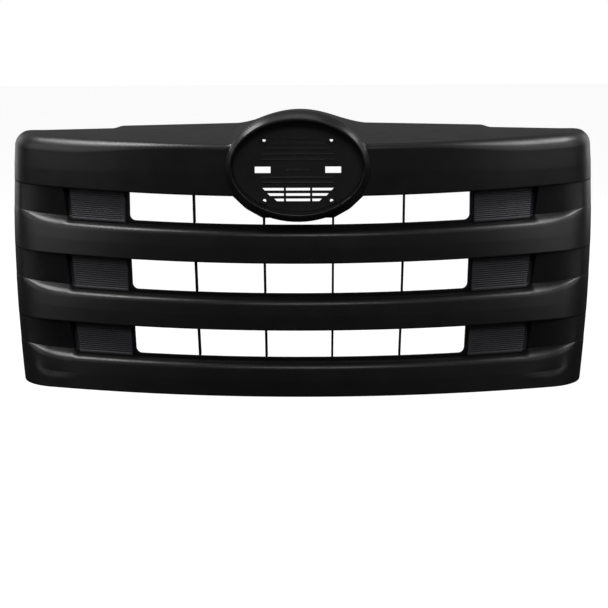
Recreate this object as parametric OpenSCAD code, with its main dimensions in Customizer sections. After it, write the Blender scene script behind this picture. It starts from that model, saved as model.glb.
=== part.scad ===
// Front grille of a bonneted truck, in black moulded plastic.
// Upright: +Z is up, the front faces -Y and +X is to the viewer's right.
// The origin is under the middle of the part, level with its bottom edge.

/* [Overall] */
// Full width across the two side returns
overall_w = 1484; // [1200:4:1800]
// How far the face sweeps back from the middle to the start of the corners
bow_depth = 181; // [140:1:220]
// Extra sweep of the upper face over the lower face, as a share of the sweep
bow_rake = 0.786; // [0.3:0.01:1.0]
// Width of the rounded corner, seen from the front
corner_w = 80; // [60:1:98]
// Straight run of the side return behind the header's corner
side_return = 5; // [2:1:60]
// How much narrower each side gets towards the bottom
side_taper = 36; // [0:1:44]
// Wall thickness of the moulded panels
wall = 3.5; // [2.5:0.1:4.5]

/* [Rows] */
// Height of the valance below the lower openings
valance_h = 93; // [78:1:130]
// Height of the lower row of openings
lower_row_h = 72; // [60:1:100]
// Height of the lower bar
lower_bar_h = 87; // [72:1:120]
// Height of the middle row of openings
middle_row_h = 78; // [65:1:100]
// Height of the upper bar
upper_bar_h = 91; // [75:1:120]
// Height of the upper row of openings
upper_row_h = 73; // [62:1:100]
// Height of the header from its lip to the front of its shelf
header_h = 124; // [100:1:170]
// How much nearer the middle the end blanks' inner edges are at the lowest row
row_taper = 22; // [0:1:34]
// Radius of the openings' lower outer corners
window_corner_r = 14; // [6:1:20]

/* [Bars] */
// How far the ledge below each opening lies behind the lip
ledge_back = 30; // [24:1:40]
// Height of the sloping shoulder between the ledge and the crest of a bar
shoulder_h = 7; // [4:1:16]
// How far the shoulder climbs over the ledge to its point at each end
end_lift = 16; // [8:1:20]
// How far the crest of a bar lies behind its lip
crest_back = 4; // [1:0.5:7]
// Depth of the flat underside behind each lip
under_depth = 40; // [36:1:56]
// Depth of the end blank's top edge behind the lip above it
blank_back = 14; // [8:1:18]

/* [End blanks] */
// Width of the smooth end blank, from the side of the part to its inner edge
end_blank_w = 142; // [130:1:180]
// Width of a ribbed insert's face at its bottom
insert_w = 145; // [100:1:176]
// Width of the upright groove between the ribbed insert and the end blank
groove_w = 15; // [10:1:24]
// How far an insert's outer edge leans outward from bottom to top
groove_slant = 8; // [0:0.5:9]
// Number of ribs on an insert
rib_count = 14; // [8:1:18]
// Height of each rib over the insert's face
rib_h = 1.1; // [0.6:0.1:2.5]
// How far the foot of an insert stands in front of its face
foot_out = 3; // [1:0.5:6]

/* [Vent grids] */
// Thickness of an upright blade
blade_t = 5.4; // [3:0.1:8]
// Depth of an upright blade from front to back
blade_depth = 24; // [16:1:34]
// Distance from the middle to the inner blades
inner_blade_x = 84; // [60:1:120]
// Distance from the middle to the outer blades
outer_blade_x = 256; // [200:1:300]
// Width of the grid's end posts
post_w = 8; // [6:1:18]
// Height of the grid's lower rail
rail_h = 7; // [5:0.5:10]
// Height of the grid's upper rail
top_rail_h = 5; // [4:0.5:8]
// Thickness of the rails from front to back
rail_t = 6; // [4:0.5:10]

/* [Header shelf] */
// Radius of the shelf's front edge in the middle
crease_r = 14; // [8:1:20]
// Radius of the shelf's edge over the side returns
side_edge_r = 37; // [30:1:44]
// Rise of the shelf from its front edge to its rear edge in the middle
shelf_rise = 20.5; // [10:0.5:40]
// How much lower the shelf's rear edge is at its ends
shelf_fall = 14; // [0:1:20]
// Height of the raised middle length of the shelf
shelf_step = 6; // [2:1:10]
// Distance from the side of the part to the raised middle length
shelf_step_inset = 270; // [240:1:320]
// Height of the turned down flange along the rear edge
rear_flange_h = 26; // [16:1:40]

/* [Emblem housing] */
// Width of the oval recess
emblem_w = 314; // [266:1:376]
// Height of the oval recess
emblem_h = 221; // [212:1:236]
// Height of the oval's middle over the header's lip
emblem_rise = 72; // [66:1:80]
// The flank's width at the oval's sides as a share of that at its top and bottom
side_flare = 0.71; // [0.6:0.01:0.9]
// How far the rim stands in front of the header's lip
rim_proud = 24.5; // [14:0.5:34]
// Width that the rim's flank flares outward at its top and bottom
rim_flare = 22.5; // [18:0.5:26]
// Distance from the lip line back to the emblem plate's front
plate_back = 15; // [8:1:24]
// Thickness of the emblem plate
plate_t = 3; // [2:0.5:5]
// Radius of the four emblem holes
emblem_hole_r = 4; // [2.5:0.25:5]
// Distance between the emblem holes across the plate
emblem_hole_dx = 161; // [140:1:168]
// Distance between the emblem holes up the plate
emblem_hole_dz = 146; // [120:1:148]

/* [Mounting studs] */
// Radius of the threaded shank
shank_r = 4; // [3:0.5:5]
// Length of the shank behind its collar
shank_l = 20; // [12:1:40]
// Radius of the collar that carries the washer
collar_r = 10; // [7:0.5:12]
// Outer radius of a rubber washer
washer_r = 25; // [16:0.5:27]
// Thickness of a rubber washer
washer_t = 6; // [3:0.5:10]
// Distance from the side of the part to the outer header studs
header_stud_inset = 152; // [140:1:220]
// Distance from the middle to the valance studs
valance_stud_x = 300; // [200:5:420]

/* [Hidden] */

// Gap between pieces that don't touch, and the washer's play on its collar
gap = 0.3;
// Depth by which shapes of one piece run into each other
bite = 1;

// Heights of the openings' bottoms and of the lips above them, from below
sill_3 = valance_h;
lip_3 = sill_3 + lower_row_h;
sill_2 = lip_3 + lower_bar_h;
lip_2 = sill_2 + middle_row_h;
sill_1 = lip_2 + upper_bar_h;
lip_1 = sill_1 + upper_row_h;
crease_z = lip_1 + header_h;

// Heights at which the sides reach their full width and the sweep its stated depth
full_w_z = 0.91 * lip_1;
sweep_z = 0.69 * lip_1;
// Height over which bow_rake acts
rake_span = 1.2 * crease_z;
// Distance from the middle to the corner, where the sides have their full width
corner_x = overall_w / 2 - corner_w;
// Distances from the middle in the upper row: the end blank's inner edge, the
// openings' outer edge, the end of the raised shelf and the outer header studs
blank_x = overall_w / 2 - end_blank_w;
window_half_w = blank_x - groove_w - insert_w - post_w - gap;
shelf_step_x = overall_w / 2 - shelf_step_inset;
header_stud_x = overall_w / 2 - header_stud_inset;

// Share by which distances from the middle shrink below the header
function row_share(z) = 1 - row_taper / blank_x
    * pow(max(0, lip_1 - z) / (lip_1 - sill_3 - lower_row_h / 2), 1.5);
function side_x(z) = overall_w / 2 - side_taper * pow(max(0, full_w_z - z) / full_w_z, 1.7);
function corner_start(z) = side_x(z) - corner_w;
function sweep_share(z) = 1 + bow_rake * (min(z, lip_1) - sweep_z) / rake_span;
function bow_y(x, z) = bow_depth * pow(x / corner_x, 2) * sweep_share(z);
function bow_angle(x, z) = atan(2 * bow_depth * x / pow(corner_x, 2) * sweep_share(z));
function corner_radius(z) = corner_w / (1 - sin(bow_angle(corner_start(z), z)));
function corner_end_y(z) = bow_y(corner_start(z), z)
    + corner_radius(z) * cos(bow_angle(corner_start(z), z));

// Rear edge of the panels, measured from the lip line in the middle
rear_y = corner_end_y(lip_1) + side_return;
// Shift that puts the origin halfway between the rim's front and the studs' ends
stud_end_y = rear_y + washer_t + shank_l;
mid_y = (stud_end_y - rim_proud) / 2;

// A station is [kind, value]: 0 is a distance from the middle in the upper row, 1 a
// share of the way from the end blank to the corner, 2 a share of the corner, 3 a
// share of the side.
// plan() gives its x, its y and the angle by which the face has turned.
function plan(s, z) = let (a0 = bow_angle(corner_start(z), z), r = corner_radius(z))
    s[0] == 0 ? let (x = s[1] * row_share(z))
        [x, bow_y(x, z), bow_angle(x, z)]
    : s[0] == 1 ? let (x = blank_x * row_share(z) * (1 - s[1]) + corner_start(z) * s[1])
        [x, bow_y(x, z), bow_angle(x, z)]
    : s[0] == 2 ? let (a = a0 + (90 - a0) * s[1])
        [corner_start(z) + r * (sin(a) - sin(a0)),
         bow_y(corner_start(z), z) + r * (cos(a0) - cos(a)), a]
    : [side_x(z), corner_end_y(z) + (rear_y - corner_end_y(z)) * s[1], 90];

// The point n behind the face at a station and height; side is -1 or 1
function at(s, side, n, z) = let (p = plan(s, z))
    [side * (p[0] - n * sin(p[2])), p[1] + n * cos(p[2]), z];

function reversed(v) = [for (i = [len(v) - 1:-1:0]) v[i]];

// Stations on one side of the middle, without the middle itself
function outer_stations() = concat(
    [for (i = [1:4]) [1, i / 4]],
    [for (i = [1:4]) [2, i / 4]],
    [[3, 0.5], [3, 1]]);

// Both sides' stations from left to right, each as [station, side]
function both_sides(half) = concat(
    [for (s = reversed(half)) [s, -1]],
    [[[0, 0], 1]],
    [for (s = half) [s, 1]]);

// How much of the recess is left at a station, fading out on the end blank
function recess(s, z) = let (x0 = blank_x * row_share(z), x_end = side_x(z) - 28)
    s[0] == 0 ? 1 : max(0.04, 1 - pow((plan(s, z)[0] - x0) / (x_end - x0), 2));

// Closed solid through equal loops of points. The loops run along a wall's outer
// skin and back along its inner skin, so the end caps are strips between the two.
module loft(loops) {
    m = len(loops[0]);
    last = (len(loops) - 1) * m;
    sides = [for (i = [0:len(loops) - 2]) for (j = [0:m - 1])
        let (a = i * m + j, b = i * m + (j + 1) % m)
        each [[a, b, b + m], [a, b + m, a + m]]];
    caps = [for (j = [0:m / 2 - 2])
        let (a = j, b = j + 1, c = m - 2 - j, d = m - 1 - j)
        each [[a, c, b], [a, d, c],
              [last + a, last + b, last + c], [last + a, last + c, last + d]]];
    polyhedron([for (l = loops) each l], concat(sides, caps), convexity = 10);
}

// The same, closed round into a ring
module ring_loft(loops) {
    m = len(loops[0]);
    total = len(loops) * m;
    faces = [for (i = [0:len(loops) - 1]) for (j = [0:m - 1])
        let (a = i * m + j, b = i * m + (j + 1) % m)
        each [[a, (b + m) % total, b], [a, (a + m) % total, (b + m) % total]]];
    polyhedron([for (l = loops) each l], faces, convexity = 10);
}

// Moves a piece from the lip line's frame to the part's own frame
module placed() {
    translate([0, -mid_y, 0])
        children();
}

// ---- bars and valance ----

// Height of a bar's ledge, below the opening's visible bottom by the grid's rail
function ledge_z(sill) = sill - rail_h;

// How much of the shoulder the crest's rounding takes up, how far it reaches down
// the face, and the shares along it at which it has points
crest_round = 0.5;
crest_reach = 14;
crest_steps = [0, 0.25, 0.5, 0.75, 1];

// The shoulder's top and bottom: both climb to one point as the recess fades out
function end_ledge(sill, e, blank) = ledge_z(sill)
    + (blank ? rail_h + (end_lift - rail_h) * (1 - e) : 0);
function crest_z(sill, e) = ledge_z(sill) - shoulder_h * e + end_lift * (1 - e);

// Rounding between a bar's face and its shoulder, moved back by n and down by d
function crest_curve(crest, ledge, e, n, d) =
    let (face = [0.9 * crest_back * e, crest - crest_reach], top = [crest_back * e, crest],
        end = top + ([ledge_back * e, ledge] - top) * crest_round)
    [for (t = crest_steps) face * pow(1 - t, 2) + top * 2 * t * (1 - t) + end * pow(t, 2)
        + [n, -d * t]];

// Outer skin of a bar from the back of its underside to its ledge or end blank
function bar_outer(lip, sill, above, e, under, blank, ledge_end) =
    let (ledge = end_ledge(sill, e, blank), crest = crest_z(sill, e),
        h = crest - crest_reach - lip, c = crest_back * e)
    concat([[under, lip], [2.5, lip], [0.7, lip + 0.7], [0, lip + 3], [0.3 * c, lip + 0.5 * h]],
        crest_curve(crest, ledge, e, 0, 0),
        [[ledge_back * e, ledge], blank ? [blank_back * e, above] : [ledge_end, ledge]]);

// Inner skin, with a point for each point of the outer skin
function bar_inner(lip, sill, above, e, under, blank, ledge_end) =
    let (ledge = end_ledge(sill, e, blank), crest = crest_z(sill, e),
        h = crest - crest_reach - lip, c = crest_back * e)
    concat([[under, lip + wall], [2.5 + wall, lip + wall], [1 + wall, lip + wall + 0.5],
         [wall, lip + wall + 3], [0.3 * c + wall, lip + 0.5 * h]],
        crest_curve(crest, ledge, e, wall, 0.8 * wall * e),
        [[ledge_back * e + wall, ledge - wall * e],
         blank ? [blank_back * e + wall, above] : [ledge_end, ledge - wall]]);

// Depth of the ledge from its front edge, under the openings
ledge_depth = 14;

// Depth of the underside at a station, shallower round the corners
function under_at(s) = s[0] == 0 ? under_depth : s[0] == 1 ? under_depth - 20 * s[1] : 14;

function bar_loop(s, side, lip, sill, above, blank) =
    let (e = recess(s, sill), u = under_at(s),
        ledge_end = ledge_back + (s[1] > blank_x - 5 ? wall + 1 : ledge_depth))
    concat([for (q = bar_outer(lip, sill, above, e, u, blank, ledge_end)) at(s, side, q[0], q[1])],
        reversed([for (q = bar_inner(lip, sill, above, e, u, blank, ledge_end))
            at(s, side, q[0], q[1])]));

// A full-width band from its lip up to the lip above it at the ends
module bar(lip, sill, above) {
    span = blank_x - 2 * gap;
    plain = [for (i = [1:10]) [0, span * i / 10]];
    half = concat(
        [for (s = plain) [s, false]],
        [[[0, blank_x], true]],
        [for (s = outer_stations()) [s, true]]);
    loops = concat(
        [for (h = reversed(half)) bar_loop(h[0], -1, lip, sill, above, h[1])],
        [bar_loop([0, 0], 1, lip, sill, above, false)],
        [for (h = half) bar_loop(h[0], 1, lip, sill, above, h[1])]);
    loft(loops);
}

// Flat tab at the rear of a side return, with the hole for its stud
module side_tab(z) {
    outer = side_x(z - washer_r) - wall / 2;
    for (side = [-1, 1])
        difference() {
            translate([side > 0 ? outer - side_tab_w : -outer, rear_y - wall, z - washer_r - 1])
                cube([side_tab_w, wall, 2 * washer_r + 2]);
            stud_hole([side * side_stud_x(z), rear_y, z]);
        }
}

side_tab_w = 2 * washer_r + 6;
function side_stud_x(z) = side_x(z - washer_r) - wall / 2 - wall - washer_r - 2;

// ---- header ----

emblem_z = lip_1 + emblem_rise;
half_w = emblem_w / 2;
half_h = emblem_h / 2;
// Gap between the bezel's sleeve and the header's oval cut-out
sleeve_grow = 9.5;
cutout_grow = 10;
// Half width and half height of the oval, larger than the recess by grow
function oval_w(grow) = half_w + (grow > 0 ? side_flare * grow : grow);
function oval_h(grow) = half_h + grow;
flank_w = oval_w(rim_flare);

// Height of the oval's flank over the middle line, where it rises over the shelf
function oval_top(x) = abs(x) >= flank_w ? 0
    : emblem_z + oval_h(rim_flare) * sqrt(1 - pow(x / flank_w, 2));
function crease_top(x) = max(crease_z, oval_top(x));

// Height of the shelf's rear edge
function step_share(x) = min(1, max(0, (shelf_step_x + 10 - x) / 20));
crown_half_w = half_w + 9;
crown_h = 30.5;
function crown(x) = x >= crown_half_w ? 0 : crown_h * pow(cos(90 * x / crown_half_w), 1.6);
function rear_top(x) = crease_z + shelf_rise - shelf_step - shelf_fall * min(1, x / corner_x)
    + shelf_step * step_share(x) + crown(x);

// Radius of the shelf's edge at a station, growing towards the ends
function smooth_share(t) = let (u = min(1, max(0, t))) u * u * (3 - 2 * u);
function edge_r(s) = crease_r + (side_edge_r - crease_r)
    * (s[0] == 0 ? pow(smooth_share((s[1] - flank_w) / (blank_x - flank_w)), 2)
        : 1);

// Where the shelf's rear edge lies for a station
last_shelf_x = overall_w / 2 - side_edge_r - 8;
function shelf_x(s) = s[0] == 0 ? s[1]
    : blank_x + (last_shelf_x - blank_x)
        * (s[0] == 1 ? 0.7 * s[1] : s[0] == 2 ? 0.7 + 0.2 * s[1] : 0.9 + 0.1 * s[1]);

shelf_shares = [0.2, 0.5, 0.8];
// How far the shelf swells upward halfway back, where it is deep
shelf_crown = 3;

// One skin of the header at a station; t is 0 outside and the wall inside
function header_skin(s, side, t) =
    let (x = plan(s, crease_z)[0], r = edge_r(s), top = crease_top(s[0] == 0 ? x : corner_x),
        face_n = 4, low = top - r, flange_z = crease_z - rear_flange_h,
        edge = at(s, side, face_n + r, top - t),
        rear = [side * shelf_x(s), rear_y - t, rear_top(shelf_x(s)) - t],
        swell_h = shelf_crown * min(1, norm(rear - edge) / 150))
    concat(
        [at(s, side, under_at(s), lip_1 + t),
         at(s, side, 2.5 + t, lip_1 + t),
         at(s, side, 0.7 + t, lip_1 + 0.7 + t),
         at(s, side, t, lip_1 + 3 + t),
         at(s, side, 0.3 * face_n + t, lip_1 + 0.4 * (low - lip_1)),
         at(s, side, 0.7 * face_n + t, lip_1 + 0.75 * (low - lip_1))],
        [for (a = [0:22.5:67.5])
            at(s, side, face_n + r - (r - t) * cos(a), low + (r - t) * sin(a))],
        [edge],
        [for (f = shelf_shares) edge + (rear - edge) * f + [0, 0, swell_h * sin(180 * f)]],
        [rear, [side * shelf_x(s), rear_y - t, flange_z]]);

module header_shell() {
    half = concat(
        [for (i = [1:12]) [0, flank_w * i / 12]],
        [for (f = [0.25, 0.5, 0.75]) [0, flank_w + (shelf_step_x - 12 - flank_w) * f]],
        [[0, shelf_step_x - 10], [0, shelf_step_x + 10], [0, blank_x]],
        outer_stations());
    loft([for (b = both_sides(half))
        concat(header_skin(b[0], b[1], 0), reversed(header_skin(b[0], b[1], wall)))]);
}

// Ellipse round the emblem's middle, larger than the recess by grow, drawn upright
module oval(grow) {
    polygon([for (i = [0:71])
        [oval_w(grow) * cos(5 * i), emblem_z + oval_h(grow) * sin(5 * i)]]);
}

// Turns a flat outline upright and gives it a thickness from y0 to y1
module upright(y0, y1) {
    translate([0, y1, 0])
        rotate([90, 0, 0])
            linear_extrude(height = y1 - y0)
                children();
}

header_stud_z = crease_z - 8 - washer_r;
header_stud_xs = [-header_stud_x, -header_stud_x / 2, 0, header_stud_x / 2, header_stud_x];

module header_panel() {
    color("#2b2b2d")
        placed() {
            difference() {
                header_shell();
                upright(-50, plate_back + 60)
                    oval(cutout_grow);
            }
            for (x = header_stud_xs)
                difference() {
                    translate([x - washer_r - 3, rear_y - wall, header_stud_z - washer_r - 1])
                        cube([2 * washer_r + 6, wall, crease_z - header_stud_z + washer_r - 4]);
                    stud_hole([x, rear_y, header_stud_z]);
                }
        }
}

// ---- bands ----

bar_stud_z = (lip_2 + sill_1) / 2 + 10;
valance_side_stud_z = sill_3 + 12;
valance_stud_z = washer_r + wall;
function valance_tab_y() = bow_y(valance_stud_x, 0) + under_depth - 4;

module upper_bar_panel() {
    color("#29292b")
        placed() {
            bar(lip_2, sill_1, lip_1);
            side_tab(bar_stud_z);
        }
}

module lower_bar_panel() {
    color("#28282a")
        placed()
            bar(lip_3, sill_2, lip_2);
}

module valance_panel() {
    color("#2a2a2c")
        placed() {
            bar(0, sill_3, lip_3);
            side_tab(valance_side_stud_z);
            for (x = [-valance_stud_x, valance_stud_x])
                difference() {
                    translate([x - washer_r - 3, valance_tab_y() - wall, wall / 2])
                        cube([2 * washer_r + 6, wall, 2 * washer_r + wall]);
                    stud_hole([x, valance_tab_y(), valance_stud_z]);
                }
        }
}

// ---- emblem housing ----

sleeve_end = plate_back + 25;
apron_y = 8;
apron_top_x = half_w;
apron_low_x = inner_blade_x + 2;
apron_low_z = emblem_z - half_h - sleeve_grow - 4.5;
apron_bulge = 4;
apron_mid_x = (apron_top_x + apron_low_x) / 2 + apron_bulge;
apron_mid_z = (lip_1 + apron_low_z) / 2 - apron_bulge;

// Section of the bezel: growth over the recess, and distance behind the lip line
bezel_section = [[0, 4.5 - rim_proud], [3, -rim_proud], [9, 0.5 - rim_proud],
    [0.76 * rim_flare, -0.5 * rim_proud], [rim_flare - 1, -4], [rim_flare, -0.5], [sleeve_grow, -0.5],
    [sleeve_grow, sleeve_end], [5, sleeve_end], [5, plate_back + plate_t + 4],
    [-8, plate_back + plate_t + 4], [-8, plate_back + plate_t], [0, plate_back + plate_t]];

module emblem_bezel() {
    color("#303032")
        placed() {
            ring_loft([for (i = [0:59])
                [for (q = bezel_section)
                    [oval_w(q[0]) * cos(6 * i), q[1], emblem_z + oval_h(q[0]) * sin(6 * i)]]]);
            upright(apron_y, sleeve_end)
                difference() {
                    polygon([[-apron_top_x, lip_1], [-apron_mid_x, apron_mid_z],
                        [-apron_low_x, apron_low_z], [apron_low_x, apron_low_z],
                        [apron_mid_x, apron_mid_z], [apron_top_x, lip_1]]);
                    oval(7);
                }
        }
}

// Places of the plate's features, measured from the oval's middle
hole_mid_z = -10.3;
clip_x = 84.7;
clip_w = 38;
clip_h = 15.5;
clip_z = -9;
slot_h = 6.3;
slot_divider_x = 31.6;
slot_divider_w = 5.4;
// Each slot row as [height, half length]
slot_rows = [[-56, 86], [-69, 74], [-82, 57]];
// Each louvre rib as [height, half length]
louvre_ribs = [[70, 36], [57, 62], [44, 76], [31, 86], [18, 88], [-26, 88], [-38, 86]];
boss_w = 6;
boss_h = 3;

// Half length of a rib, shorter where it would run into a boss
function rib_half(rib) = abs(abs(rib[0] - hole_mid_z) - emblem_hole_dz / 2) > emblem_hole_r + 10 ? rib[1]
    : min(rib[1], emblem_hole_dx / 2 - emblem_hole_r - 8);

// A louvre rib with a sloping top and a flat underside
module louvre(dz, half_l) {
    translate([-half_l, 0, emblem_z + dz])
        rotate([90, 0, 90])
            linear_extrude(2 * half_l)
                polygon([[plate_back + 0.01, 2.6], [plate_back - boss_h, -1.4],
                    [plate_back - boss_h, -2.4], [plate_back + 0.01, -2.4]]);
}

module emblem_plate() {
    hole_at = [for (sx = [-1, 1]) for (sz = [-1, 1])
        [sx * emblem_hole_dx / 2, emblem_z + hole_mid_z + sz * emblem_hole_dz / 2]];
    color("#1f1f20")
        placed() {
            upright(plate_back, plate_back + plate_t)
                difference() {
                    oval(-gap);
                    for (h = hole_at)
                        translate(h)
                            circle(r = emblem_hole_r, $fn = 32);
                    for (side = [-1, 1])
                        translate([side * clip_x, emblem_z + clip_z])
                            square([clip_w, clip_h], center = true);
                    for (row = slot_rows)
                        slot_row(row[0], row[1]);
                }
            upright(plate_back - boss_h, plate_back + 0.01)
                intersection() {
                    oval(-gap);
                    for (h = hole_at)
                        translate(h)
                            difference() {
                                circle(r = emblem_hole_r + boss_w, $fn = 32);
                                circle(r = emblem_hole_r, $fn = 32);
                            }
                }
            for (rib = louvre_ribs)
                louvre(rib[0], rib_half(rib));
            louvre(clip_z + 1, clip_w * 0.74);
        }
}

// One row of slots with slanted ends and two dividers
module slot_row(dz, half_l) {
    z = emblem_z + dz;
    difference() {
        polygon([[-half_l, z + slot_h / 2], [half_l, z + slot_h / 2],
            [half_l - 6, z - slot_h / 2], [6 - half_l, z - slot_h / 2]]);
        for (side = [-1, 1])
            translate([side * slot_divider_x, z])
                square([slot_divider_w, slot_h + 1], center = true);
    }
}

// ---- vent grids ----

rail_front = ledge_back;

// Height of the lower rail's top, rounded up into the end post
function rail_top(x, sill, x_end) = let (d = x - (x_end - window_corner_r))
    d <= 0 ? sill : sill + window_corner_r
        - sqrt(max(0, pow(window_corner_r, 2) - pow(min(d, window_corner_r), 2)));

// A curved strip behind the face between two heights at each of its stations
module strip(rows, n0, n1) {
    loft([for (r = rows) let (s = [0, abs(r[0])], side = r[0] < 0 ? -1 : 1)
        [at(s, side, n0, r[1]), at(s, side, n0, r[2]), at(s, side, n1, r[2]), at(s, side, n1, r[1])]]);
}

// A blade in one row; it follows the openings' taper
module blade(x, low, high) {
    y0 = bow_y(x * row_share((low + high) / 2), (low + high) / 2) + rail_front;
    x_low = x * row_share(low);
    x_high = x * row_share(high);
    for (side = [-1, 1])
        upright(y0, y0 + blade_depth)
            polygon([[side * x_low - blade_t / 2, low], [side * x_low + blade_t / 2, low],
                [side * x_high + blade_t / 2, high], [side * x_high - blade_t / 2, high]]);
}

// One row's frame and blades. The upper row's top rail and inner blades stop
// at the emblem housing.
module vent_grid(sill, lip, under_emblem) {
    x_end = window_half_w;
    ledge = ledge_z(sill);
    n0 = rail_front;
    n1 = rail_front + rail_t;
    straight_end = x_end - window_corner_r;
    half = concat(
        [for (i = [1:7]) straight_end * i / 7],
        [for (i = [1:3]) straight_end + window_corner_r * sin(30 * i) * 0.98]);
    rail = [for (x = concat([0], half)) [x, ledge, rail_top(x, sill, x_end)]];
    right = concat(rail, [[x_end + gap, ledge, lip], [x_end + post_w, ledge, lip]]);
    left = [for (i = [len(right) - 1:-1:1]) [-right[i][0], right[i][1], right[i][2]]];
    // The upper row's top rail starts clear of the apron's corner
    rail_x = apron_top_x + gap + n1 * sin(bow_angle(apron_top_x, lip));
    placed() {
        strip(concat(left, right), n0, n1);
        if (under_emblem)
            for (side = [-1, 1])
                strip([for (i = [0:5]) let (x = rail_x + (x_end + 3 - rail_x) * (side > 0 ? i : 5 - i) / 5)
                    [side * x, lip - top_rail_h, lip]], n0 + bite, n1 - bite);
        else
            strip([for (i = [-7:7]) [(x_end + 3) * i / 7, lip - top_rail_h, lip]],
                n0 + bite, n1 - bite);
        blade(outer_blade_x, sill - bite, lip - top_rail_h + bite);
        blade(inner_blade_x, sill - bite, under_emblem ? apron_low_z : lip - top_rail_h + bite);
    }
}

module vent_grid_upper() {
    color("#202021")
        vent_grid(sill_1, lip_1, true);
}

module vent_grid_middle() {
    color("#202021")
        vent_grid(sill_2, lip_2, false);
}

module vent_grid_lower() {
    color("#202021")
        vent_grid(sill_3, lip_3, false);
}

// ---- ribbed inserts ----

// Section of an insert from bottom to top, as [depth, height]
function rib_section(sill, lip) = let (z0 = ledge_z(sill), h = lip - z0, n = ledge_back - 3)
    concat([[n - foot_out, z0], [n - foot_out, sill - 0.5], [n, sill + 0.5]],
        [for (i = [0:rib_count - 1]) for (k = [0.2, 0.8])
            [n - (k < 0.5 ? rib_h : 0), sill + 1 + (h - rail_h - 4) * (i + k) / rib_count]],
        [[n, lip - 3], [n, lip]]);

// Depth of the groove's floor behind the insert's face, and how far the floor
// reaches behind the end blank
groove_depth = 10;
groove_reach = 18;

// The insert's outer length steps back to form the dark groove. A cut is its
// distance from the middle, how far it steps back and its share of the slant.
module ribbed_insert(side, sill, lip) {
    x0 = window_half_w + post_w + gap;
    x1 = x0 + insert_w;
    x2 = blank_x + groove_reach;
    section = rib_section(sill, lip);
    low = ledge_z(sill);
    cuts = [[x0, 0, 0], [x0 + insert_w / 3, 0, 1 / 3], [x0 + 2 * insert_w / 3, 0, 2 / 3],
        [x1, 0, 1], [x1 + 2, groove_depth, 1], [x2, groove_depth, 0]];
    color("#2f2f33")
        placed()
            loft([for (c = side > 0 ? cuts : reversed(cuts)) concat(
                [for (q = section) insert_point(c, side, q[0], q[1], low, lip)],
                reversed([for (q = section) insert_point(c, side, ledge_back, q[1], low, lip)]))]);
}

function insert_point(cut, side, n, z, low, lip) =
    at([0, cut[0] + groove_slant * cut[2] * (z - low) / (lip - low)], side, n + cut[1], z);

// ---- studs and washers ----

// Each stud's place on the rear face that carries it, from left to right and down
stud_at = concat(
    [for (x = header_stud_xs) [x, rear_y, header_stud_z]],
    [for (side = [-1, 1]) [side * side_stud_x(bar_stud_z), rear_y, bar_stud_z]],
    [for (side = [-1, 1]) [side * side_stud_x(valance_side_stud_z), rear_y, valance_side_stud_z]],
    [for (side = [-1, 1]) [side * valance_stud_x, valance_tab_y(), valance_stud_z]]);
neck_r = shank_r + 1;
stud_head_r = collar_r - 1;
stud_head_t = 3;

// A cylinder along +Y from a point
module rod(r, y0, y1) {
    translate([0, y1, 0])
        rotate([90, 0, 0])
            cylinder(r = r, h = y1 - y0, $fn = 48);
}

module stud_hole(p) {
    translate(p)
        rod(neck_r + 0.1, -wall - 1, 1);
}

module mounting_studs() {
    color("#8d9094")
        placed()
            for (p = stud_at)
                translate(p) {
                    rod(stud_head_r, -wall - stud_head_t, -wall);
                    rod(neck_r, -wall - 0.5, 0.5);
                    rod(collar_r, 0, washer_t);
                    rod(shank_r, washer_t - 0.5, washer_t + shank_l);
                }
}

module rubber_washer(i) {
    color("#1b1b1b")
        placed()
            translate(stud_at[i])
                difference() {
                    rod(washer_r, gap, washer_t);
                    rod(collar_r + gap, -1, washer_t + 1);
                }
}

header_panel();
upper_bar_panel();
lower_bar_panel();
valance_panel();
emblem_bezel();
emblem_plate();
vent_grid_upper();
vent_grid_middle();
vent_grid_lower();
ribbed_insert(-1, sill_1, lip_1);  // ribbed_insert_left_upper
ribbed_insert(-1, sill_2, lip_2);  // ribbed_insert_left_middle
ribbed_insert(-1, sill_3, lip_3);  // ribbed_insert_left_lower
ribbed_insert(1, sill_1, lip_1);  // ribbed_insert_right_upper
ribbed_insert(1, sill_2, lip_2);  // ribbed_insert_right_middle
ribbed_insert(1, sill_3, lip_3);  // ribbed_insert_right_lower
mounting_studs();
rubber_washer(0);  // rubber_washer_01
rubber_washer(1);  // rubber_washer_02
rubber_washer(2);  // rubber_washer_03
rubber_washer(3);  // rubber_washer_04
rubber_washer(4);  // rubber_washer_05
rubber_washer(5);  // rubber_washer_06
rubber_washer(6);  // rubber_washer_07
rubber_washer(7);  // rubber_washer_08
rubber_washer(8);  // rubber_washer_09
rubber_washer(9);  // rubber_washer_10
rubber_washer(10);  // rubber_washer_11
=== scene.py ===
import bmesh
import bpy
import math
import numpy as np
from mathutils import Matrix, Vector


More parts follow.
